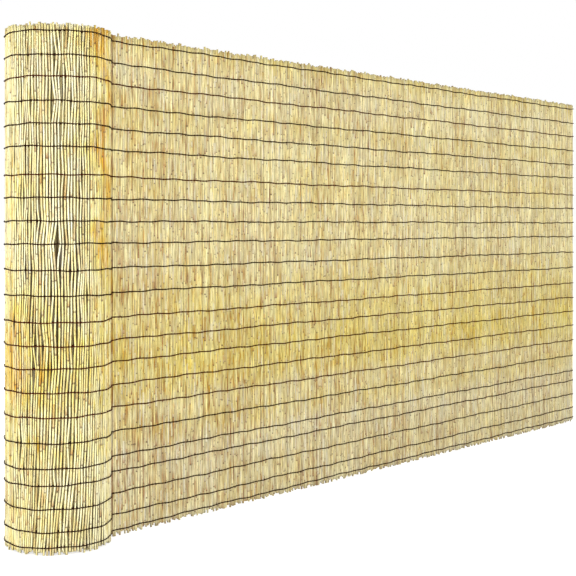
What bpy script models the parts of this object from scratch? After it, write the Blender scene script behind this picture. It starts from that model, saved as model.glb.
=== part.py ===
"""Reed fence: a mat of upright reeds laced with rows of wire, standing on its ends and partly unrolled.

The mat is one long strip that follows a path in plan. The path winds outwards as a spiral, peels off the
roll, turns back through a short bend and runs out straight along +X. Every piece is a stretch of that strip
or a wire lying on its faces, so all of them are worked out from the same path. Sizes are in metres.
"""

import math
import random

import bmesh
import bpy
from mathutils import Vector

# The fence as it is sold
FENCE_HEIGHT = 1.80
FENCE_LENGTH = 10.0

# How far it is unrolled, and how it leaves the roll
UNROLLED_LENGTH = 3.50
CORE_DIAMETER = 0.081
RUN_OFFSET = 0.091
BEND_RADIUS = 0.020

# Reeds lie side by side, and the thickest ones carry the wires
THICKEST_REED = 0.0092
THINNEST_REED = 0.0073
REED_JOIN = 0.0016
CROWN_SHARE = 0.4
END_STEP = 0.0020
END_STEPS = 3
REED_SEED = 7

# Rows of wire, with a strand on each face of the reeds
WIRE_DIAMETER = 0.0026
EDGE_MARGIN = 0.0245
WIRE_PITCH = 0.0796
SEAT_GAP = 0.0003

# The lacing is uneven by hand: the spacing of the rows from the top down, as shares of the usual spacing
ROW_SPACING = (1.00, 0.94, 1.02, 0.99, 0.96, 1.19, 1.00, 1.00, 0.97, 1.12, 1.10,
               1.12, 1.01, 0.97, 1.03, 1.03, 1.09, 1.09, 0.70, 0.99, 0.97, 0.68)

# The roll is drawn as chords, each of which carries whole reeds
CHORDS_A_TURN = 24
BEND_CHORDS = 3
TUCKED_CHORDS = 1

STRAW = (0.80, 0.66, 0.36, 1.0)
SHADED_STRAW = (0.62, 0.48, 0.24, 1.0)
DARK_WIRE = (0.035, 0.024, 0.018, 1.0)

TURN_STEP = 2 * math.pi / CHORDS_A_TURN
STRAND_OFFSET = THICKEST_REED / 2 + SEAT_GAP + WIRE_DIAMETER / 2
# Between two turns lie the strands of both, each with its own gap
WRAP_PITCH = (THICKEST_REED + 2 * WIRE_DIAMETER + 3 * SEAT_GAP) / math.cos(TURN_STEP / 2)


def clear_scene():
    for thing in list(bpy.data.objects):
        bpy.data.objects.remove(thing)


def material(name, colour, roughness):
    made = bpy.data.materials.new(name)
    made.use_nodes = True
    shader = made.node_tree.nodes["Principled BSDF"]
    shader.inputs["Base Color"].default_value = colour
    shader.inputs["Roughness"].default_value = roughness
    return made


def roll_and_run():
    """Plan of the mat's middle line: the roll, from its inner end to the peel, and the run out from there."""
    inner_radius = (CORE_DIAMETER + THICKEST_REED) / 2
    rolled_length = FENCE_LENGTH - UNROLLED_LENGTH
    outer_radius = math.sqrt(inner_radius**2 + rolled_length * WRAP_PITCH / math.pi)
    peel = -math.asin((RUN_OFFSET + BEND_RADIUS) / (outer_radius + BEND_RADIUS))
    chords = round((outer_radius - inner_radius) / WRAP_PITCH * CHORDS_A_TURN)

    rolled = []
    for step in range(chords, -1, -1):
        angle = peel - step * TURN_STEP
        radius = outer_radius - WRAP_PITCH * step / CHORDS_A_TURN
        rolled.append(radius * Vector((math.cos(angle), math.sin(angle))))

    # The bend turns from the roll's tangent at the peel back to +X
    heading = peel + math.pi / 2
    centre = rolled[-1] + BEND_RADIUS * Vector((math.sin(heading), -math.cos(heading)))
    run = [rolled[-1]]
    for step in range(1, BEND_CHORDS + 1):
        still_to_turn = heading * (1 - step / BEND_CHORDS)
        run.append(centre + BEND_RADIUS * Vector((-math.sin(still_to_turn), math.cos(still_to_turn))))
    straight = UNROLLED_LENGTH - BEND_RADIUS * heading
    run.append(run[-1] + Vector((straight, 0)))
    return rolled, run


def left_normal(start, end):
    along = (end - start).normalized()
    return Vector((-along.y, along.x))


def mitred_normals(points):
    """At each corner, the left-hand offset direction, lengthened so that both chords keep their distance."""
    normals = [left_normal(a, b) for a, b in zip(points, points[1:])]
    mitres = [normals[0]]
    for before, after in zip(normals, normals[1:]):
        middle = (before + after).normalized()
        mitres.append(middle / middle.dot(after))
    mitres.append(normals[-1])
    return mitres


def offset_line(points, distance):
    return [point + distance * mitre for point, mitre in zip(points, mitred_normals(points))]


def both_sides(points, width):
    """Left and right points of a strip of one width that follows the line."""
    return list(zip(offset_line(points, width / 2), offset_line(points, -width / 2)))


def trimmed(points, at_start=0.0, at_end=0.0):
    """The same line, shortened along its first and last chords."""
    line = [point.copy() for point in points]
    line[0] += (line[1] - line[0]).normalized() * at_start
    line[-1] += (line[-2] - line[-1]).normalized() * at_end
    return line


def reeds_along(points, seed):
    """Plan of each reed on the line: its join to the last reed, its crown's two ends, its next join, its top.

    A join and a crown's end are each a pair of points, on the mat's left and right faces.
    """
    draw = random.Random(seed)
    corner_joins = both_sides(points, REED_JOIN)
    reeds = []
    for index, (start, end) in enumerate(zip(points, points[1:])):
        chord = end - start
        normal = left_normal(start, end)
        count = max(1, round(chord.length / ((THICKEST_REED + THINNEST_REED) / 2)))
        diameters = [draw.uniform(THINNEST_REED, THICKEST_REED) for _ in range(count)]
        travelled = 0.0
        before = corner_joins[index]
        for number, diameter in enumerate(diameters, start=1):
            share = diameter / sum(diameters)
            middle = start + chord * (travelled + share / 2)
            crown = [middle + chord * share * CROWN_SHARE * end for end in (-0.5, 0.5)]
            crown = [(end + normal * diameter / 2, end - normal * diameter / 2) for end in crown]
            travelled += share
            if number < count:
                join = start + chord * travelled
                after = (join + normal * REED_JOIN / 2, join - normal * REED_JOIN / 2)
            else:
                after = corner_joins[index + 1]
            top = FENCE_HEIGHT - END_STEP * draw.randrange(END_STEPS + 1)
            reeds.append((before, *crown, after, top))
            before = after
    return reeds


def add_object(name, shape, finish):
    mesh = bpy.data.meshes.new(name)
    bmesh.ops.recalc_face_normals(shape, faces=shape.faces[:])
    shape.to_mesh(mesh)
    shape.free()
    mesh.materials.append(finish)
    thing = bpy.data.objects.new(name, mesh)
    bpy.context.scene.collection.objects.link(thing)


def add_strip(name, stations, low, high, finish):
    """A plain strip: its plan is drawn at one height and raised to the other."""
    shape = bmesh.new()
    pairs = [[shape.verts.new((*side, low)) for side in station] for station in stations]
    for (left_a, right_a), (left_b, right_b) in zip(pairs, pairs[1:]):
        shape.faces.new((left_a, right_a, right_b, left_b))
    raised = bmesh.ops.extrude_face_region(shape, geom=shape.faces[:], use_keep_orig=True)
    corners = [item for item in raised["geom"] if isinstance(item, bmesh.types.BMVert)]
    bmesh.ops.translate(shape, verts=corners, vec=(0, 0, high - low))
    add_object(name, shape, finish)


def add_reeds(name, reeds, finish):
    """Reeds joined side to side, each standing on the floor and cut off at its own height."""
    shape = bmesh.new()
    corners = {}

    def corner(point, height):
        key = (round(point.x, 6), round(point.y, 6), round(height, 6))
        if key not in corners:
            corners[key] = shape.verts.new((point.x, point.y, height))
        return corners[key]

    def wall(join, crown, top, neighbour_top):
        """Face from a join to the crown, with a corner where a shorter neighbour's end meets it."""
        meeting = corner(join, min(top, neighbour_top))
        shape.faces.new((corner(join, 0), meeting, corner(crown, top), corner(crown, 0)))
        if neighbour_top < top:
            shape.faces.new((meeting, corner(join, top), corner(crown, top)))

    def across(join, low, high):
        """Face through the mat's thickness at a join."""
        shape.faces.new([corner(join[side], height) for side, height in ((0, low), (1, low), (1, high), (0, high))])

    tops = [reed[-1] for reed in reeds]
    befores = [tops[0]] + tops[:-1]
    afters = tops[1:] + [tops[-1]]
    for (before, rise, fall, after, top), top_before, top_after in zip(reeds, befores, afters):
        outline = (before[0], before[1], rise[1], fall[1], after[1], after[0], fall[0], rise[0])
        for height in (0, top):
            shape.faces.new([corner(point, height) for point in outline])
        for side in (0, 1):
            wall(before[side], rise[side], top, top_before)
            wall(after[side], fall[side], top, top_after)
            shape.faces.new((corner(rise[side], 0), corner(rise[side], top),
                             corner(fall[side], top), corner(fall[side], 0)))
        if top_after != top:
            across(after, top_after, top)
    across(reeds[0][0], 0, tops[0])
    across(reeds[-1][3], 0, tops[-1])
    add_object(name, shape, finish)


def row_heights():
    """Heights of the wire rows, from the top down, with one row near each end of the reeds."""
    span = FENCE_HEIGHT - 2 * EDGE_MARGIN
    count = max(1, round(span / WIRE_PITCH))
    spacings = [ROW_SPACING[row % len(ROW_SPACING)] for row in range(count)]
    heights = [FENCE_HEIGHT - EDGE_MARGIN]
    for spacing in spacings:
        heights.append(heights[-1] - span * spacing / sum(spacings))
    return heights


def wire_line(rolled, run):
    """A strand's centreline: round the roll, out along the front, round the last reed and back behind."""
    front = offset_line(rolled[-CHORDS_A_TURN - TUCKED_CHORDS - 1:] + run[1:], -STRAND_OFFSET)
    back = offset_line(rolled[-TUCKED_CHORDS - 1:] + run[1:], STRAND_OFFSET)
    past_end = Vector((SEAT_GAP + WIRE_DIAMETER / 2, 0))
    return front[:-1] + [front[-1] + past_end, back[-1] + past_end] + back[-2::-1]


def plan_centre(stations):
    """Middle of the plan's box, which goes over the model's origin."""
    corners = [corner for station in stations for corner in station]
    low = Vector((min(c.x for c in corners), min(c.y for c in corners)))
    high = Vector((max(c.x for c in corners), max(c.y for c in corners)))
    return (low + high) / 2


def build():
    clear_scene()
    straw = material("dried_reed", STRAW, 0.55)
    shaded = material("dried_reed_inside_roll", SHADED_STRAW, 0.65)
    coated = material("dark_coated_wire", DARK_WIRE, 0.45)

    rolled, run = roll_and_run()
    middle = plan_centre(both_sides(wire_line(rolled, run), WIRE_DIAMETER))
    rolled = [point - middle for point in rolled]
    run = [point - middle for point in run]

    inner_turns = trimmed(rolled[:-CHORDS_A_TURN], at_end=SEAT_GAP)
    outer_turn = rolled[-CHORDS_A_TURN - 1:]
    unrolled = trimmed(run, at_start=SEAT_GAP)
    add_strip("inner_turns_reeds", both_sides(inner_turns, THICKEST_REED), 0, FENCE_HEIGHT, shaded)
    add_reeds("outer_turn_reeds", reeds_along(outer_turn, REED_SEED), straw)
    add_reeds("unrolled_reeds", reeds_along(unrolled, REED_SEED + 1), straw)

    strand = both_sides(wire_line(rolled, run), WIRE_DIAMETER)
    for row, height in enumerate(row_heights(), start=1):
        low = height - WIRE_DIAMETER / 2
        add_strip(f"binding_wire_{row:02d}", strand, low, low + WIRE_DIAMETER, coated)


build()
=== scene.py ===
"""Dresses the reed fence: every reed, wire strand and stitch of the lacing, with the finishes of dried reed
and coated wire, in a plain pale studio. All sizes are in metres."""

import math
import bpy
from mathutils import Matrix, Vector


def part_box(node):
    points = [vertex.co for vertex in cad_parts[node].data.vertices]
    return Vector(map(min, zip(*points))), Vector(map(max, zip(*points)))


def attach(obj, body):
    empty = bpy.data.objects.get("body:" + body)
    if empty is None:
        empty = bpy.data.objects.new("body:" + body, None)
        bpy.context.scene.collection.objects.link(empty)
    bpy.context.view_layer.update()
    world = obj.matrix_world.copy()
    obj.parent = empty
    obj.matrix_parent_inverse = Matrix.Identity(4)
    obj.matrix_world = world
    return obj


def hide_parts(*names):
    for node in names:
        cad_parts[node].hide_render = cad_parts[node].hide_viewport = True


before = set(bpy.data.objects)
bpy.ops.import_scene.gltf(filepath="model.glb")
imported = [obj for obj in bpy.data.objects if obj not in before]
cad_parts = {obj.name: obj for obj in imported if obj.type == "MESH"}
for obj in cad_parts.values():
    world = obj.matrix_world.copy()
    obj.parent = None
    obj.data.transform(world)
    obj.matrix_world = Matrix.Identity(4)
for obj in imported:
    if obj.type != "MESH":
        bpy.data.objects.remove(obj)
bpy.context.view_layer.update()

from types import SimpleNamespace

import bpy
import numpy as np

# The mat's path in plan, from the same sizes as the solids
FENCE_HEIGHT = 1.80
FENCE_LENGTH = 10.0
UNROLLED_LENGTH = 3.50
CORE_DIAMETER = 0.081
RUN_OFFSET = 0.091
BEND_RADIUS = 0.020
THICKEST_REED = 0.0092
WIRE_DIAMETER = 0.0026
SEAT_GAP = 0.0003
CHORDS_A_TURN = 24
ROLL_AXIS = (-1.734648, 0.003853)
WRAP_PITCH = (THICKEST_REED + 2 * WIRE_DIAMETER + 3 * SEAT_GAP) / math.cos(math.pi / CHORDS_A_TURN)
SPIRAL_POINTS, BEND_POINTS, RUN_POINTS = 6000, 30, 60

# Reeds. A foot's cut is measured from the floor, and one drawn below the floor stands on it. A tip's cut is
# measured from the fence's height
REED_SIDES = 6
LEAST_TAPER, MOST_TAPER = 0.02, 0.14
LOWEST_FOOT, HIGHEST_FOOT = -0.004, 0.014
LOWEST_TIP, HIGHEST_TIP = -0.010, 0.007
USUAL_TIP, TIP_SCATTER = -0.001, 0.0035
SHORTEST_INTERNODE, LONGEST_INTERNODE = 0.13, 0.25
HOLLOW_DEPTH = 0.012
BORE_SHARE = 0.66
RIM_SHADE = 0.3
REED_SEED = 7

# Where the reeds stand. Gaps are shares of a usual gap, and a stray is a share of the stem's own one. The
# lacing stops most of the lean that a stem has in common with the four on each side of it
NARROWEST_GAP, WIDEST_GAP = 0.15, 1.8
NARROWEST_FRESH_GAP, WIDEST_FRESH_GAP = 0.05, 2.8
FRESH_SEED = 50
LEAN_NEIGHBOURS = 4
LEAN_STOPPED = 0.85
MOST_STRAY = 0.9
OWN_STRAY = 0.35
DEPTH_SCATTER = 0.0003

# Curves are pairs of a place and the value there. These go by how far back a place is, along the mat, from
# where the run leaves the roll
GAPS_BACK = ((-0.02, 1.0), (0.02, 0.65), (0.18, 0.65), (0.26, 1.15), (0.44, 1.15), (0.52, 0.9))
SHOULDER_BACK = ((0.08, 1), (0.25, 0))
RIPE_SHOULDER_MIDDLE, RIPE_SHOULDER_WIDTH = 0.105, 0.075
RIPE_LEFT_MIDDLE, RIPE_LEFT_WIDTH = 0.47, 0.08
ASKEW_BEGINS, ASKEW_TURNS, ASKEW_ENDS = 0.60, 0.25, 0.04

# How far askew the roll is wound, and below what height
ASKEW = 0.035
ASKEW_BELOW = 0.70

# These curves go by height
RIPE_UP = ((0, -0.2), (0.28, -0.1), (0.42, 0.22), (0.62, 0.54), (0.80, 0.42), (1.00, 0.06), (1.40, 0),
           (1.74, 0.08), (1.80, 0.32))
RIPE_SHOULDER_UP = ((0.40, -0.05), (0.55, 0.2), (0.80, 0.2), (1.0, 1.0))
RIPE_LEFT_UP = ((0.4, 0.2), (0.55, 0.5), (0.8, 0.5), (0.95, 0.2))
# The paler foot of the roll's shoulder is painted light on that side of the roll, and its deeper upper half
# is its own tone
SHOULDER_LIGHT_AND_TONE_UP = ((0.3, -0.2), (0.6, 0), (0.8, 0), (1.0, 0.08))
DARKER_FEET_UP = ((0.35, 0.08), (0.55, 0))

# Rows of lacing, at the heights of the frame's wires from the bottom up
WIRES = sorted((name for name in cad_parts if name.startswith("binding_wire_")), reverse=True)
ROW_HEIGHTS = np.array([(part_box(name)[0][2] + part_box(name)[1][2]) / 2 for name in WIRES])
# The wire of some rows is a redder brown
BROWNER_WIRES = [f"binding_wire_{number:02d}" for number in (3, 7, 13, 14, 15, 16, 17)]
BROWNER_SHARE = 0.8
STRAND_SIDES = 4
STRAND_STRETCH = 1.55
STRAND_START, STRAND_STEP_INSIDE = 0.02, 0.03
END_ROOM = 0.003
# A row's waves, each by its height and its turns a metre in radians
WANDER = ((0.0012, 58), (0.0012, 27), (0.0014, 8))
ROW_SEED = 100

# Stitches. Their outline gives each corner's depth, from the back strand at 0 to the front one at 1, and its
# height as a share of half of the stitch's
REEDS_A_STITCH = 2
STITCH_SIDES = 3
STITCH_WIRE = 0.0013
STITCH_HEIGHT = 0.0042
STITCH_BITE = 0.0002
STITCH_OUTLINE = ((0, 0), (0.08, -1), (0.92, -1), (1, 0), (0.92, 1), (0.08, 1))

# Each piece's map: reeds side by side on it, a strip's free share at each edge and end, the least and most
# room that a ring gets, and an end's disc: its half width on the strip and its share of the free end's height
REEDS_A_MAP_ROW = 18
MAP_EDGE, MAP_END = 0.04, 0.01
LEAST_ROOM, MOST_ROOM = 0.018, 0.2
DISC_WIDTH, DISC_HEIGHT = 0.3, 0.8

# A Mix node's sockets for colours have names in common with its others, so they go by number
SHARE, UNDER, OVER, MIXED = 0, 6, 7, 2


def linear(code):
    """Linear colour from an sRGB hex value."""
    parts = [int(code[i:i + 2], 16) / 255 for i in (1, 3, 5)]
    return tuple(c / 12.92 if c <= 0.04045 else ((c + 0.055) / 1.055) ** 2.4 for c in parts) + (1.0,)


def curve(at, points):
    """Reads a curve that is drawn straight from point to point."""
    return np.interp(at, *zip(*points))


def lay_out_path():
    """The middle of the mat in plan, from the core to the run's end: arc lengths, places and headings."""
    inner = (CORE_DIAMETER + THICKEST_REED) / 2
    outer = math.sqrt(inner**2 + (FENCE_LENGTH - UNROLLED_LENGTH) * WRAP_PITCH / math.pi)
    peel = -math.asin((RUN_OFFSET + BEND_RADIUS) / (outer + BEND_RADIUS))
    wound = np.linspace(0, (outer - inner) / WRAP_PITCH * 2 * math.pi, SPIRAL_POINTS)
    angle = peel - wound[-1] + wound
    radius = inner + WRAP_PITCH * wound / (2 * math.pi)
    x, y = radius * np.cos(angle), radius * np.sin(angle)

    bend = peel + math.pi / 2
    to_turn = np.linspace(bend, 0, BEND_POINTS)[1:]
    centre = (x[-1] + BEND_RADIUS * math.sin(bend), y[-1] - BEND_RADIUS * math.cos(bend))
    straight = np.linspace(0, UNROLLED_LENGTH - BEND_RADIUS * bend, RUN_POINTS)[1:]
    x = np.concatenate([x, centre[0] - BEND_RADIUS * np.sin(to_turn), centre[0] + straight])
    y = np.concatenate([y, centre[1] + BEND_RADIUS * np.cos(to_turn),
                        np.full(len(straight), centre[1] + BEND_RADIUS)])
    along = np.concatenate([[0], np.cumsum(np.hypot(np.diff(x), np.diff(y)))])
    heading = np.unwrap(np.arctan2(np.gradient(y, along), np.gradient(x, along)))
    heading[-len(straight):] = round(heading[-1] / (2 * math.pi)) * 2 * math.pi
    last_turn = np.interp(wound[-1] - 2 * math.pi, wound, along[:len(wound)])
    return SimpleNamespace(along=along, x=x + ROLL_AXIS[0], y=y + ROLL_AXIS[1], heading=heading,
                           turn_start=last_turn, run_start=along[len(wound) - 1], end=along[-1])


MAT = lay_out_path()


def heading_at(along):
    return np.interp(along, MAT.along, MAT.heading)


def place(along, depth, height):
    """World points from mat coordinates: distance along the mat, depth towards its front, and height."""
    heading = heading_at(along)
    past = np.maximum(along - MAT.end, 0)
    x = np.interp(along, MAT.along, MAT.x) + past * np.cos(heading) + depth * np.sin(heading)
    y = np.interp(along, MAT.along, MAT.y) + past * np.sin(heading) - depth * np.cos(heading)
    return np.stack(np.broadcast_arrays(x, y, height), axis=-1)


def lay_on_map(mesh, tubes, up, sides):
    """Lays each tube on an upright strip of the piece's map, so that its pattern keeps room when it is baked.
    up is where each ring stands on the strip, from 0 to 1. The seam is on the flank."""
    rows = max(1, round(math.sqrt(tubes / REEDS_A_MAP_ROW)))
    columns = math.ceil(tubes / rows)
    tube, ring, side = np.ogrid[:tubes, :len(up) - 1, :sides]
    column, row = tube % columns, tube // columns
    width = 1 - 2 * MAP_EDGE
    corners = [(column + MAP_EDGE + width * (side + next_side) / sides, row + up[ring + next_ring])
               for next_side, next_ring in ((0, 0), (1, 0), (1, 1), (0, 1))]
    spots = [np.stack([np.stack(np.broadcast_arrays(*corner), axis=-1) for corner in corners], axis=-2)]
    turn = np.arange(sides) * 2 * math.pi / sides
    for centre, way in ((up[0] / 2, -turn - turn[1]), ((1 + up[-1]) / 2, turn)):
        across, upward = DISC_WIDTH * np.cos(way), DISC_HEIGHT * up[0] / 2 * np.sin(way)
        disc = np.stack([0.5 + across, centre + upward], axis=-1)
        spots.append(disc + np.stack([column[:, 0], row[:, 0]], axis=-1))
    spots = np.concatenate([part.reshape(-1, 2) for part in spots]) / (columns, rows)
    mesh.uv_layers.new(name="OFBake").uv.foreach_set("vector", spots.ravel().astype(np.float32))


def add_swept(name, centres, axis_a, axis_b, radii, sides, finish, marks=None, up=None, closed=False):
    """One mesh of many tubes. centres is tubes by rings by 3, and the two axes span each ring's plane. Marks
    are values for each ring. With them, flank marks how far each point looks towards the next tube."""
    tubes, rings = centres.shape[:2]
    turn = np.arange(sides) * 2 * math.pi / sides
    spokes = np.cos(turn)[:, None] * axis_a[..., None, :] + np.sin(turn)[:, None] * axis_b[..., None, :]
    points = centres[:, :, None] + radii[:, :, None, None] * spokes
    index = np.arange(tubes * rings * sides).reshape(tubes, rings, sides)
    low, high = (index, np.roll(index, -1, axis=1)) if closed else (index[:, :-1], index[:, 1:])
    quads = np.stack([low, np.roll(low, -1, axis=2), np.roll(high, -1, axis=2), high], axis=-1).reshape(-1, 4)
    caps = np.empty((0, sides), int) if closed else np.concatenate([index[:, 0, ::-1], index[:, -1]])

    mesh = bpy.data.meshes.new(name)
    mesh.vertices.add(index.size)
    mesh.vertices.foreach_set("co", points.reshape(-1).astype(np.float32))
    mesh.loops.add(quads.size + caps.size)
    mesh.loops.foreach_set("vertex_index", np.concatenate([quads.ravel(), caps.ravel()]).astype(np.int32))
    mesh.polygons.add(len(quads) + len(caps))
    starts = np.concatenate([np.arange(len(quads)) * 4, quads.size + np.arange(len(caps)) * sides])
    mesh.polygons.foreach_set("loop_start", starts.astype(np.int32))
    mesh.polygons.foreach_set("use_smooth", np.arange(len(starts)) < len(quads))
    mesh.update(calc_edges=True)
    if marks:
        at_points = {key: np.repeat(values[:, :, None], sides, axis=2) for key, values in marks.items()}
        at_points["flank"] = np.tile(np.abs(np.cos(turn)), tubes * rings)
        for key, values in at_points.items():
            held = mesh.attributes.new(key, "FLOAT", "POINT")
            held.data.foreach_set("value", values.ravel().astype(np.float32))
        lay_on_map(mesh, tubes, up, sides)
    mesh.materials.append(finish)
    thing = bpy.data.objects.new(name, mesh)
    bpy.context.scene.collection.objects.link(thing)
    return thing


def node(tree, kind, inputs=(), output=0, stops=(), **settings):
    """Adds a shader node and gives one of its outputs. The inputs, by name or in order, are plain values or
    the outputs that feed them. Stops are a colour ramp's places and sRGB colours, in order."""
    made = tree.nodes.new("ShaderNode" + kind)
    for setting, value in settings.items():
        setattr(made, setting, value)
    for socket, value in (inputs.items() if isinstance(inputs, dict) else enumerate(inputs)):
        if isinstance(value, bpy.types.NodeSocket):
            tree.links.new(value, made.inputs[socket])
        else:
            made.inputs[socket].default_value = value
    # A new ramp has two stops
    for _ in stops[2:]:
        made.color_ramp.elements.new(0.5)
    for i, (position, code) in enumerate(stops):
        made.color_ramp.elements[i].position = position
        made.color_ramp.elements[i].color = linear(code)
    return made.outputs[output]


def new_finish(name):
    made = bpy.data.materials.new(name)
    made.use_nodes = True
    return made, made.node_tree, made.node_tree.nodes["Principled BSDF"]


def dried_reed():
    """Common reed, cut in winter and air dried: a smooth straw skin that is satin along the stem. Each length
    between two nodes is partly wrapped in its dry leaf sheath, which is duller and greyer or browner than
    the skin. There are fine lengthwise streaks, some of them golden, and a brown ring at each node. Painted
    shade darkens the flanks between the reeds and the inside of each bore."""
    finish, tree, shader = new_finish("dried_common_reed")
    tint, grown, own, painted_shade, ripe, flank = (
        node(tree, "Attribute", output="Fac", attribute_name=name)
        for name in ("tint", "grown", "own", "painted_shade", "ripe", "flank"))
    # Each stem reads a pattern at a height of its own, up to 37 m away, so that none runs on to the next
    spot = node(tree, "TexCoord", output="Object")
    away = node(tree, "Math", (own, 37.0), operation="MULTIPLY")
    own_spot = node(tree, "VectorMath", (spot, node(tree, "CombineXYZ", {"Z": away})))

    # Patterns by the size of their grain in millimetres, across the stem and along it, and by their detail
    pattern = {}
    for name, where, across, along, detail in (
            ("batch", spot, 180, 260, 1.0), ("clump", spot, 26, 110, 2.5),
            ("weather", own_spot, 20, 140, 2.0), ("patch", own_spot, 9, 70, 1.0),
            ("gold", own_spot, 5, 36, 1.0), ("streak", own_spot, 1.2, 90, 3.0),
            ("fleck", own_spot, 3, 12, 1.0), ("flank_shade", own_spot, 14, 60, 1.0)):
        scale = (1000 / across, 1000 / across, 1000 / along)
        grain = node(tree, "VectorMath", (where, scale), operation="MULTIPLY")
        pattern[name] = node(tree, "TexNoise", {"Vector": grain, "Scale": 1.0, "Detail": detail})

    # "grown" rises by one at each node of the stem, so its whole part tells the lengths apart
    length = node(tree, "Math", (grown,), operation="FLOOR")
    up_length = node(tree, "Math", (grown,), operation="FRACT")
    pair = node(tree, "CombineXYZ", (length, own))
    dice = node(tree, "TexWhiteNoise", {"Vector": pair}, output="Color")
    chance, sheath_chance, cover_chance = (node(tree, "SeparateColor", (dice,), output=part)
                                           for part in ("Red", "Green", "Blue"))

    # The skin's tone is pale straw at 0 and brown at 1. A MapRange's inputs are its value, the range that the
    # value comes from and the range that it goes to
    tone = tint
    for value, low, high, swing in ((pattern["batch"], 0.35, 0.65, 0.06),
                                    (pattern["patch"], 0.3, 0.7, 0.33), (chance, 0, 1, 0.15)):
        part = node(tree, "MapRange", (value, low, high, -swing, swing))
        tone = node(tree, "Math", (tone, part), operation="ADD")
    skin = node(tree, "ValToRGB", (tone,), stops=(
        (0.0, "#FDF4BC"), (0.2, "#F9E998"), (0.42, "#EBDC93"), (0.62, "#D9C67E"), (0.8, "#C3A95B"),
        (0.93, "#BE943E"), (1.0, "#986A28")))

    # A sheath wraps the foot of its length and is thinnest on the palest stems
    sheath = node(tree, "ValToRGB", (sheath_chance,), stops=(
        (0.0, "#EFE8C8"), (0.45, "#D6C898"), (0.75, "#C0AB78"), (0.9, "#CCA04C"), (1.0, "#A27838")))
    sheath_top = node(tree, "MapRange", (cover_chance, 0.35, 1.0, 0.0, 0.7))
    wrapped = node(tree, "Math", (up_length, sheath_top), operation="LESS_THAN")
    cover = node(tree, "MapRange", (tint, 0.0, 0.2, 0.2, 0.7))
    cover = node(tree, "Math", (wrapped, cover), operation="MULTIPLY")
    weathered = node(tree, "MapRange", (pattern["weather"], 0.5, 0.78, 0, 0.45))
    golden = node(tree, "MapRange", (pattern["gold"], 0.6, 0.7, 0, 0.55))
    colour = skin
    for share, over in ((cover, sheath), (weathered, linear("#B6A771")), (golden, linear("#D2983C"))):
        colour = node(tree, "Mix", {SHARE: share, UNDER: colour, OVER: over}, output=MIXED, data_type="RGBA")

    # Ripe skin is yellower and a little darker, and only the ripest is redder. Clumps of stems differ too
    clump_yellow = node(tree, "MapRange", (pattern["clump"], 0.3, 0.7, 0.86, 1.14))
    ripe_yellow = node(tree, "MapRange", (ripe, -0.2, 1, 0.76, 1.32))
    yellowness = node(tree, "Math", (clump_yellow, ripe_yellow), operation="MULTIPLY")
    clump_red = node(tree, "MapRange", (pattern["clump"], 0.3, 0.7, 0.006, -0.006))
    ripe_red = node(tree, "MapRange", (ripe, 0.65, 1, 0.501, 0.475))
    redness = node(tree, "Math", (ripe_red, clump_red))
    brightness = node(tree, "MapRange", (ripe, 0, 1, 1.05, 0.94))
    colour = node(tree, "HueSaturation", {"Hue": redness, "Saturation": yellowness, "Value": brightness,
                                          "Color": colour})
    brightness = node(tree, "MapRange", (pattern["streak"], 0.35, 0.7, 1.08, 0.68))
    colour = node(tree, "VectorMath", {0: colour, "Scale": brightness}, operation="SCALE")

    # A node's ring is about 5 mm wide, with a stain above it on some, and flecks of old sheath are up to
    # 12 mm long
    stain = node(tree, "MapRange", (up_length, 0.0, 0.14, 0.75, 0.0))
    stained = node(tree, "MapRange", (chance, 0.7, 0.9, 0.0, 1.0))
    stain = node(tree, "Math", (stain, stained), operation="MULTIPLY")
    nearness = node(tree, "Math", (grown, 0.5), operation="PINGPONG")
    ring = node(tree, "MapRange", (nearness, 0.008, 0.020, 0.9, 0.0))
    ring_strength = node(tree, "MapRange", (sheath_chance, 0.2, 1, 0.25, 1.0))
    ring = node(tree, "Math", (ring, ring_strength), operation="MULTIPLY")
    fleck = node(tree, "MapRange", (pattern["fleck"], 0.685, 0.73, 0.0, 0.85))
    fleck = node(tree, "Math", (ring, fleck), operation="MAXIMUM")

    # Painted shade darkens the flanks, between a reed and the next, in patches along the stem, and the inside
    # of a bore
    flank_shade = node(tree, "MapRange", (flank, 0.58, 1.0, 0.0, 0.95))
    flank_shade_patchiness = node(tree, "MapRange", (pattern["flank_shade"], 0.38, 0.62, 0.55, 1.2))
    flank_shade = node(tree, "Math", (flank_shade, flank_shade_patchiness), operation="MULTIPLY")
    for share, code in ((stain, "#A86C26"), (fleck, "#563212"), (flank_shade, "#33250F"), (painted_shade, "#3A2A16")):
        colour = node(tree, "Mix", {SHARE: share, UNDER: colour, OVER: linear(code)}, output=MIXED,
                      data_type="RGBA")

    height = node(tree, "Math", (pattern["streak"], ring), operation="ADD")
    relief = node(tree, "Bump", {"Height": height, "Strength": 0.4, "Distance": 0.0005})
    satin = node(tree, "MapRange", (pattern["streak"], 0.3, 0.7, 0.4, 0.6))
    tree.links.new(colour, shader.inputs["Base Color"])
    tree.links.new(satin, shader.inputs["Roughness"])
    tree.links.new(relief, shader.inputs["Normal"])
    shader.inputs["IOR"].default_value = 1.48
    return finish


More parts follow.
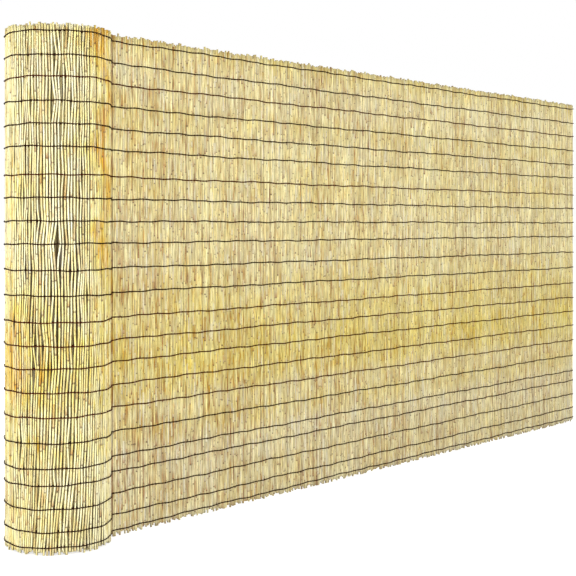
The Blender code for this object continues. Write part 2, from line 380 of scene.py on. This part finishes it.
def coated_wire():
    """Steel wire in a thin dark brown plastic coat, drawn through a die: smooth, nearly matt with a film of
    reed dust, and rubbed a little paler where the reeds have scuffed it. Some rows are a redder brown."""
    finish, tree, shader = new_finish("brown_coated_wire")
    # Scuffs are about 3 mm long
    spot = node(tree, "TexCoord", output="Object")
    browner = node(tree, "Attribute", output="Fac", attribute_name="browner")
    scuff = node(tree, "TexNoise", {"Vector": spot, "Scale": 1000 / 3.3, "Detail": 2.0})
    colour = node(tree, "ValToRGB", (scuff,), stops=((0.4, "#240E01"), (0.62, "#301403"), (0.8, "#4A260A")))
    colour = node(tree, "Mix", {SHARE: browner, UNDER: colour, OVER: linear("#4A1A02")}, output=MIXED,
                  data_type="RGBA")
    dulled = node(tree, "MapRange", {"Value": scuff, "To Min": 0.6, "To Max": 0.8})
    tree.links.new(colour, shader.inputs["Base Color"])
    tree.links.new(dulled, shader.inputs["Roughness"])
    shader.inputs["IOR"].default_value = 1.5
    shader.inputs["Specular IOR Level"].default_value = 0.08
    return finish


def levels():
    """Heights where a stem may bend: at each row of lacing, and halfway between rows."""
    halfway = (ROW_HEIGHTS[1:] + ROW_HEIGHTS[:-1]) / 2
    return np.sort(np.concatenate([ROW_HEIGHTS, halfway]))


def side_by_side(widths, gaps, start, end):
    """Middles of reeds laid side by side from start to end, with the gaps scaled to fill the length."""
    gaps = gaps * ((end - start) - widths.sum(axis=0)) / gaps.sum(axis=0)
    return start + np.cumsum(widths + gaps, axis=0) - gaps - widths / 2, gaps


def slant(along, height):
    """How much wider a gap is because the roll is wound askew low down: its stems lean, packed close at the
    left of the roll and parted again before the crease."""
    begins, turns, ends = (MAT.run_start - back for back in (ASKEW_BEGINS, ASKEW_TURNS, ASKEW_ENDS))
    # The packing fades in and out smoothly
    into = ((along - begins) / (turns - begins)).clip(0, 1)
    out = ((along - turns) / (ends - turns)).clip(0, 1)
    packing = 6 * into * (1 - into) / (turns - begins) - 6 * out * (1 - out) / (ends - turns)
    return (1 - 4 * ASKEW * (1 - height / ASKEW_BELOW).clip(0) ** 1.3 * packing).clip(0.05)


def ripeness(along, height):
    """How golden the skin is, from palest below 0 to ripest at 1. It is palest at the foot and ripest a third
    of the way up, each band between two rows differs a little, and riper bundles stand at the roll's shoulder
    and at its left. The roll's feet are riper than the run's."""
    draw = np.random.default_rng(REED_SEED)
    back = MAT.run_start - along
    up = curve(height, RIPE_UP) + 0.25 * (height < 0.4) * (back > 0)
    band = draw.uniform(-0.12, 0.12, len(ROW_HEIGHTS) + 1)[np.searchsorted(ROW_HEIGHTS, height)]
    clump = sum(0.03 * np.sin(2 * math.pi * (along / wide + height / tall) + wave)
                for wide, tall, wave in zip((0.9, -0.5, 0.33), (2.1, 1.2, 0.8), draw.uniform(0, 6.3, 3)))
    uneven = 0.04 * np.sin(height * 19) + 0.02 * np.sin(height * 47)
    shoulder = np.exp(-((back - RIPE_SHOULDER_MIDDLE - uneven) / RIPE_SHOULDER_WIDTH) ** 2)
    left = np.exp(-((back - RIPE_LEFT_MIDDLE) / RIPE_LEFT_WIDTH) ** 2)
    return up + band + clump + shoulder * curve(height, RIPE_SHOULDER_UP) + left * curve(height, RIPE_LEFT_UP)


def gaps_by_row(draw, start, end, count, seed, unrest, fickle):
    """How wide each gap is at each row, as shares of a usual one. Most gaps are slight and a few are wide.
    Each row widens or closes a gap by up to the share unrest, and fickle is how much of it is drawn afresh.
    The mat opens where the roll bulges at its front and closes on its shoulder."""
    uneven = draw.exponential(1.0, (count, 1)).clip(NARROWEST_GAP, WIDEST_GAP)
    fresh = np.random.default_rng(seed + FRESH_SEED).exponential(1.0, (count, len(ROW_HEIGHTS)))
    uneven = (1 - fickle) * uneven + fickle * fresh.clip(NARROWEST_FRESH_GAP, WIDEST_FRESH_GAP)
    uneven *= curve(MAT.run_start - np.linspace(start, end, count), GAPS_BACK)[:, None]
    return uneven * draw.uniform(1 - unrest, 1 + unrest, (count, len(ROW_HEIGHTS)))


def grow_reeds(start, end, seed, pitch, thick, thin, unrest, fickle, tints):
    """Reeds between two places along the mat, as rings from foot to tip in mat coordinates."""
    draw = np.random.default_rng(seed)
    count = round((end - start) / pitch)
    feet = draw.uniform(LOWEST_FOOT, HIGHEST_FOOT, count).clip(0)
    tips = FENCE_HEIGHT + draw.normal(USUAL_TIP, TIP_SCATTER, count).clip(LOWEST_TIP, HIGHEST_TIP)
    height = np.column_stack([feet, np.tile(levels(), (count, 1)), tips])

    # Half of the stems stand butt up
    butt = draw.uniform(thin, thick, count)[:, None] / 2
    taper = draw.uniform(LEAST_TAPER, MOST_TAPER, count)[:, None]
    share = height / FENCE_HEIGHT
    share = np.where(draw.random((count, 1)) < 0.5, share, 1 - share)
    radius = butt * (1 - taper * share)

    # The gaps widen and close from row to row, so the stems lean a little
    held = slice(1, -1, 2)
    uneven = gaps_by_row(draw, start, end, count, seed, unrest, fickle)
    middle, gap = side_by_side(2 * radius[:, held], uneven, start, end)
    lean = np.pad(middle - middle.mean(axis=1, keepdims=True), ((LEAN_NEIGHBOURS, LEAN_NEIGHBOURS), (0, 0)),
                  mode="edge")
    middle -= LEAN_STOPPED * np.mean([lean[i:i + count] for i in range(2 * LEAN_NEIGHBOURS + 1)], axis=0)
    usual = gap.mean(axis=1, keepdims=True)
    upright, leaning = (side_by_side(2 * radius[:, held], usual * wider, start, end)[0]
                        for wider in (np.ones(middle.shape), slant(middle, ROW_HEIGHTS[None])))
    middle += leaning - upright

    # Each stem stands somewhere in its own gap, elsewhere at each row. Halfway between two rows it keeps
    # mostly to the middle of its places at them
    along, room = (np.array([np.interp(height[i], ROW_HEIGHTS, values[i]) for i in range(count)])
                   for values in (middle, gap))
    stray = draw.uniform(0, MOST_STRAY, height.shape)
    at_rows = stray[:, 1:-2:2] + stray[:, 3::2]
    stray[:, 2:-1:2] = OWN_STRAY * stray[:, 2:-1:2] + (1 - OWN_STRAY) / 2 * at_rows
    along += stray * room
    depth = draw.normal(0, DEPTH_SCATTER, height.shape) + draw.normal(0, DEPTH_SCATTER, (count, 1))

    internode = draw.uniform(SHORTEST_INTERNODE, LONGEST_INTERNODE, (count, 1))
    grown = height / internode + draw.uniform(1, 2, (count, 1))
    return {"along": along, "depth": depth, "height": height, "radius": radius, "grown": grown,
            "ripe": ripeness(along, height),
            "tint": np.tile(draw.choice(tints, (count, 1)), height.shape[1]),
            "own": np.tile(draw.random((count, 1)), height.shape[1]), "painted_shade": np.zeros(height.shape)}


def with_bores(reeds):
    """Adds a rim and a short bore to both ends of each reed, as two more rings at each end. The bore holds
    painted shade, and its rim a little of it.
    """
    ringed = {key: values[:, [0, 0, *range(values.shape[1]), -1, -1]] for key, values in reeds.items()}
    ringed["height"][:, 0] += HOLLOW_DEPTH
    ringed["height"][:, -1] -= HOLLOW_DEPTH
    ringed["radius"][:, [0, 1, -2, -1]] *= BORE_SHARE
    # Painted shade fills the bore, and a little of it lies on the rim
    ringed["painted_shade"][:, [0, -1]] = 1
    ringed["painted_shade"][:, [1, -2]] = RIM_SHADE
    return ringed


def add_reeds(name, reeds, finish):
    whole = with_bores(reeds)
    centres = place(whole["along"], whole["depth"], whole["height"])
    heading = heading_at(whole["along"])
    level = np.zeros_like(heading)
    ahead = np.stack([np.cos(heading), np.sin(heading), level], axis=-1)
    aside = np.stack([-np.sin(heading), np.cos(heading), level], axis=-1)
    marks = {key: whole[key] for key in ("tint", "grown", "own", "painted_shade", "ripe")}
    # A rim would be too small to show on the map, so every ring gets some room there
    room = np.abs(np.diff(whole["height"].mean(axis=0))).clip(LEAST_ROOM, MOST_ROOM)
    up = MAP_END + (1 - 2 * MAP_END) * np.append(0, room.cumsum() / room.sum())
    return add_swept(name, centres, ahead, aside, whole["radius"], REED_SIDES, finish, marks, up)


def in_bundles(name, reeds, count, finish):
    """The reeds of one stretch of mat as several pieces side by side, so that each reed has room on its
    piece's map."""
    edges = np.linspace(0, len(reeds["along"]), count + 1).round().astype(int)
    return [add_reeds(f"{name}_{i + 1:02d}", {key: values[a:b] for key, values in reeds.items()}, finish)
            for i, (a, b) in enumerate(zip(edges[:-1], edges[1:]))]


def lie_over(crowns):
    """A taut wire rests on the proudest reeds near by, and is nearly straight between them."""
    reach = 2
    for settle in (np.max, np.mean):
        padded = np.pad(crowns, reach, mode="edge")
        crowns = settle([padded[i:i + len(crowns)] for i in range(2 * reach + 1)], axis=0)
    return crowns


def directions(line, closed=False):
    """Unit directions of travel along lines of points."""
    ahead = np.roll(line, -1, axis=1) - np.roll(line, 1, axis=1)
    if not closed:
        ahead[:, 0], ahead[:, -1] = line[:, 1] - line[:, 0], line[:, -1] - line[:, -2]
    return ahead / np.linalg.norm(ahead, axis=2, keepdims=True)


def add_row(row, outside, coat):
    """One row of lacing: a strand on each face joined round the end reed, and stitches that tie the two."""
    draw = np.random.default_rng(ROW_SEED + row)
    level = 1 + 2 * row
    along, depth, radius = (outside[key][:, level] for key in ("along", "depth", "radius"))
    front = lie_over(depth + radius) + WIRE_DIAMETER / 2
    back = -lie_over(radius - depth) - WIRE_DIAMETER / 2
    waves = draw.uniform(0, 2 * math.pi, len(WANDER))

    def wavy(at):
        """The row's height, which wanders by a millimetre or two as it was laced by hand."""
        return ROW_HEIGHTS[row] + sum(size * np.sin(at * turns + wave)
                                      for (size, turns), wave in zip(WANDER, waves))

    hidden = np.arange(STRAND_START, MAT.turn_start, STRAND_STEP_INSIDE)
    seat = THICKEST_REED / 2 + SEAT_GAP + WIRE_DIAMETER / 2
    held = slice(None, None, 2)
    end = [MAT.end + END_ROOM] * 2
    at = np.concatenate([hidden, along[held], end, along[held][::-1], hidden[::-1]])
    depths = np.concatenate([np.full(len(hidden), seat), front[held], [front[-1], back[-1]],
                             back[held][::-1], np.full(len(hidden), -seat)])
    line = place(at, depths, wavy(at))[None]
    # A strand is two wires laid one above the other, so it is taller than it is deep
    up = np.broadcast_to([0, 0, STRAND_STRETCH], line.shape)
    strand = add_swept(f"laced_row_{row + 1:02d}", line, up, np.cross(directions(line), up / STRAND_STRETCH),
                       np.full(line.shape[:2], WIRE_DIAMETER / 2), STRAND_SIDES, coat)

    # Each stitch comes through the gap between two reeds and goes round both strands
    gaps = np.arange(draw.integers(REEDS_A_STITCH), len(along) - 1, REEDS_A_STITCH)
    at = (along[gaps] + along[gaps + 1]) / 2
    proud = WIRE_DIAMETER / 2 + STITCH_WIRE / 2 - STITCH_BITE
    outer = np.interp(at, along[held], front[held]) + proud
    inner = np.interp(at, along[held], back[held]) - proud
    deep, high = np.array(STITCH_OUTLINE).T
    depths = inner[:, None] + (outer - inner)[:, None] * deep
    tall = STITCH_HEIGHT * draw.uniform(0.8, 1.2, (len(gaps), 1)) / 2
    ring = place(np.repeat(at[:, None], len(deep), axis=1), depths, wavy(at)[:, None] + tall * high)
    side = np.stack([np.cos(heading_at(at)), np.sin(heading_at(at)), np.zeros_like(at)], axis=-1)
    side = np.broadcast_to(side[:, None], ring.shape)
    stitches = add_swept(f"stitches_{row + 1:02d}", ring, side, np.cross(directions(ring, True), side),
                         np.full(ring.shape[:2], STITCH_WIRE / 2), STITCH_SIDES, coat, closed=True)
    with bpy.context.temp_override(active_object=strand, selected_editable_objects=[strand, stitches]):
        bpy.ops.object.join()
    shade = strand.data.attributes.new("browner", "FLOAT", "POINT")
    share = BROWNER_SHARE if WIRES[row] in BROWNER_WIRES else 0.0
    shade.data.foreach_set("value", np.full(len(strand.data.vertices), share, np.float32))
    return strand


def dress():
    reed = dried_reed()
    coat = coated_wire()
    # Tints run from pale straw at 0 to brown at 1, and a common one is in its list twice
    # The reeds inside the roll get darker tints, painted shade for the unlit inside of the roll
    inside = grow_reeds(start=0.006, end=MAT.turn_start, seed=11, pitch=0.00950, thick=0.0090, thin=0.0075,
                        unrest=0.2, fickle=0.0, tints=(0.55, 0.6, 0.65, 0.7, 0.75, 0.8))
    turn = grow_reeds(start=MAT.turn_start, end=MAT.run_start, seed=12, pitch=0.01010, thick=THICKEST_REED,
                      thin=0.0064, unrest=0.85, fickle=0.65,
                      tints=(0.0, 0.0, 0.05, 0.05, 0.1, 0.1, 0.15, 0.2, 0.25, 0.35, 0.5))
    run = grow_reeds(start=MAT.run_start, end=MAT.end - 0.001, seed=13, pitch=0.00825, thick=THICKEST_REED,
                     thin=0.0073, unrest=0.7, fickle=0.35,
                     tints=(0.25, 0.3, 0.35, 0.4, 0.4, 0.45, 0.45, 0.5, 0.5, 0.6))

    # The roll's shoulder is paler at its foot, painted light on that side of the roll, and its own tone is
    # deeper in its upper half
    shoulder = curve(MAT.run_start - turn["along"], SHOULDER_BACK)
    turn["tint"] += curve(turn["height"], SHOULDER_LIGHT_AND_TONE_UP) * shoulder
    # The reeds by the crease are darker, a painted shadow of the roll on the run, and two of them are
    # dark brown, a painted shade in the crease. The run is also darker towards its feet and its far end
    past = run["along"] - MAT.run_start
    run["tint"] += 0.19 * np.exp(-past / 0.45)
    run["tint"] += 0.06 * past.clip(0, 1) + curve(run["height"], DARKER_FEET_UP)
    run["tint"][1:3] = 1.0
    # Only the ends of the reeds inside the roll show, so three of their rings are kept. They carry painted
    # shade, dark in the middle where the inside of the roll gets no light, and are paler at the cut
    half_way = 24
    short = {key: values[:, [0, half_way, -1]] for key, values in inside.items()}
    short["painted_shade"][:, 1] = 0.9
    short["tint"][:, [0, -1]] -= 0.45

    outside = {key: np.concatenate([turn[key], run[key]]) for key in turn}
    pieces = []
    for name, reeds, bundles, stands_for, slot in (
            ("reeds_inside", short, 2, "inner_turns_reeds", "rolled_reed"),
            ("reeds_outer_turn", turn, 8, "outer_turn_reeds", "reed"),
            ("reeds_run", run, 24, "unrolled_reeds", "reed")):
        pieces += [(piece, stands_for, slot) for piece in in_bundles(name, reeds, bundles, reed)]
    pieces += [(add_row(row, outside, coat), wire, "binding_wire") for row, wire in enumerate(WIRES)]
    for piece, stands_for, slot in pieces:
        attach(piece, "root")
        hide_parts(stands_for)


def lamp(name, place_at, aim, size, power):
    light = bpy.data.lights.new(name, "AREA")
    light.size = size
    light.energy = power
    thing = bpy.data.objects.new(name, light)
    bpy.context.scene.collection.objects.link(thing)
    thing.location = place_at
    reach = np.array(aim) - np.array(place_at)
    level = math.hypot(reach[0], reach[1])
    thing.rotation_euler = (math.atan2(level, -reach[2]), 0, math.atan2(reach[1], reach[0]) - math.pi / 2)


def studio():
    """A pale floor that keeps the shadow, a white background and plain soft light."""
    white = linear("#FFFFFF")
    floor = bpy.data.meshes.new("studio_floor")
    reach, drop = 40, 0.0005
    floor.from_pydata([(-reach, -reach, 0), (reach, -reach, 0), (reach, reach, 0), (-reach, reach, 0)], [],
                      [(0, 1, 2, 3)])
    ground = bpy.data.objects.new("studio_floor", floor)
    ground.location.z = -drop
    bpy.context.scene.collection.objects.link(ground)

    # The floor shows white to the camera where light falls, and darker in the object's shadow
    paint, tree, shader = new_finish("white_studio_floor")
    shader.inputs["Base Color"].default_value = linear("#EDEDED")
    shader.inputs["Roughness"].default_value = 0.9
    camera_ray = node(tree, "LightPath", output="Is Camera Ray")
    faint = node(tree, "Math", (camera_ray, 0.6), operation="MULTIPLY")
    glow = node(tree, "Emission", {"Color": white, "Strength": faint})
    lit = node(tree, "AddShader", (shader.outputs[0], glow))
    tree.links.new(lit, tree.nodes["Material Output"].inputs["Surface"])
    floor.materials.append(paint)

    # The world is white to the eye and in reflections, and lights the object at half of that
    world = bpy.data.worlds.new("studio_light")
    bpy.context.scene.world = world
    world.use_nodes = True
    tree = world.node_tree
    tree.nodes.clear()
    seen = node(tree, "LightPath", output="Is Camera Ray")
    for ray in ("Is Glossy Ray", "Is Transmission Ray"):
        seen = node(tree, "Math", (seen, node(tree, "LightPath", output=ray)), operation="MAXIMUM")
    backdrop = node(tree, "Background", {"Color": white, "Strength": 1.0})
    soft = node(tree, "Background", {"Color": white, "Strength": 0.5})
    mixed = node(tree, "MixShader", (seen, soft, backdrop))
    ending = tree.nodes.new("ShaderNodeOutputWorld")
    tree.links.new(mixed, ending.inputs["Surface"])

    lamp("key_softbox", place_at=(-6.0, -5.0, 1.2), aim=(-1.2, 0, 0.8), size=1.8, power=315)
    lamp("fill_softbox", place_at=(2.6, -6.0, 2.7), aim=(1.0, 0, 0.8), size=3.0, power=125)
    lamp("back_softbox", place_at=(4.5, 4.5, 1.7), aim=(0.5, 0, 0.8), size=3.0, power=150)
    lamp("side_softbox", place_at=(-6.5, 0.8, 1.5), aim=(-1.7, 0, 0.8), size=1.6, power=80)


def camera():
    """Level camera in front of the roll, turned to look along the run. The shift keeps the uprights plumb."""
    to_the_left, in_front, eye_height = 2.827, 3.471, 1.117
    look = (0.7618, 0.6478)
    data = bpy.data.cameras.new("photo_camera")
    data.sensor_width = 36
    data.lens = 78.1
    data.shift_y = -0.1093
    data.clip_end = 200
    thing = bpy.data.objects.new("photo_camera", data)
    bpy.context.scene.collection.objects.link(thing)
    thing.location = (ROLL_AXIS[0] - to_the_left, ROLL_AXIS[1] - in_front, eye_height)
    thing.rotation_euler = (math.pi / 2, 0, math.atan2(look[1], look[0]) - math.pi / 2)
    bpy.context.scene.camera = thing


dress()
studio()
camera()
bpy.context.scene.view_settings.view_transform = "Standard"
